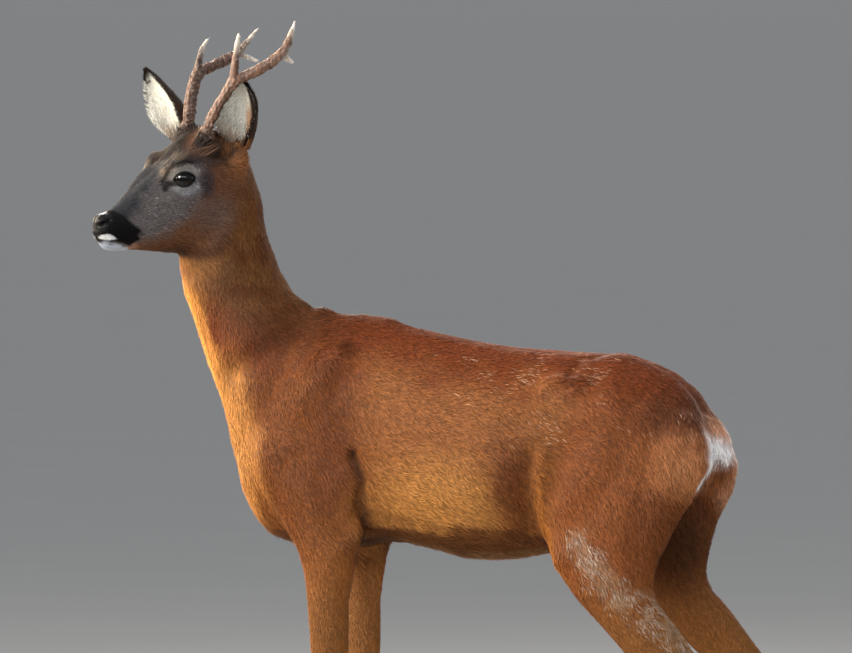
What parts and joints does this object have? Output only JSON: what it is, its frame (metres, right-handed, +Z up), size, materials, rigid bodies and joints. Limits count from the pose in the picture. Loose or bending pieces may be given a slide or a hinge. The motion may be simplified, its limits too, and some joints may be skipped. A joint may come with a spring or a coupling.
{
  "type": "roe deer",
  "caption": "Life-size still model of a roe deer buck in its summer red coat, standing with the head turned to its left, ears spread and branched antlers.",
  "frame": {"origin": "on the floor, under the middle of the whole animal's bounding box", "axes": "+Z up; the trunk lies along X and faces -X; the animal's left side is -Y and its head is turned that way"},
  "size_m": [0.7928, 0.242, 1.0588],
  "materials": {
    "coat": "short summer hair, red brown, matt",
    "face": "short grey hair, matt",
    "ear": "long pale hair inside, dark rim",
    "rump": "white hair, matt",
    "antler": "rough pearled bone with worn pale tips",
    "eye": "wet, glossy, nearly black",
    "hoof": "smooth dark horn",
    "nose": "moist black pebbled skin"
  },
  "bodies": {
    "root": {"head": "face", "neck": "coat", "trunk": "coat", "tail": "rump", "ear_left": "ear", "eye_left": "eye", "antler_left_beam": "antler", "antler_left_front_tine": "antler", "antler_left_top_tine": "antler", "antler_left_back_tine": "antler", "forearm_left": "coat", "fore_cannon_left": "coat", "fore_pastern_left": "coat", "thigh_left": "coat", "hind_shank_left": "coat", "hind_cannon_left": "coat", "hind_pastern_left": "coat", "claw_fore_left_inner": "hoof", "dewclaw_fore_left_inner": "hoof", "claw_fore_left_outer": "hoof", "dewclaw_fore_left_outer": "hoof", "claw_hind_left_inner": "hoof", "dewclaw_hind_left_inner": "hoof", "claw_hind_left_outer": "hoof", "dewclaw_hind_left_outer": "hoof", "ear_right": "ear", "eye_right": "eye", "antler_right_beam": "antler", "antler_right_front_tine": "antler", "antler_right_top_tine": "antler", "antler_right_back_tine": "antler", "forearm_right": "coat", "fore_cannon_right": "coat", "fore_pastern_right": "coat", "thigh_right": "coat", "hind_shank_right": "coat", "hind_cannon_right": "coat", "hind_pastern_right": "coat", "claw_fore_right_inner": "hoof", "dewclaw_fore_right_inner": "hoof", "claw_fore_right_outer": "hoof", "dewclaw_fore_right_outer": "hoof", "claw_hind_right_inner": "hoof", "dewclaw_hind_right_inner": "hoof", "claw_hind_right_outer": "hoof", "dewclaw_hind_right_outer": "hoof"}
  },
  "joints": []
}
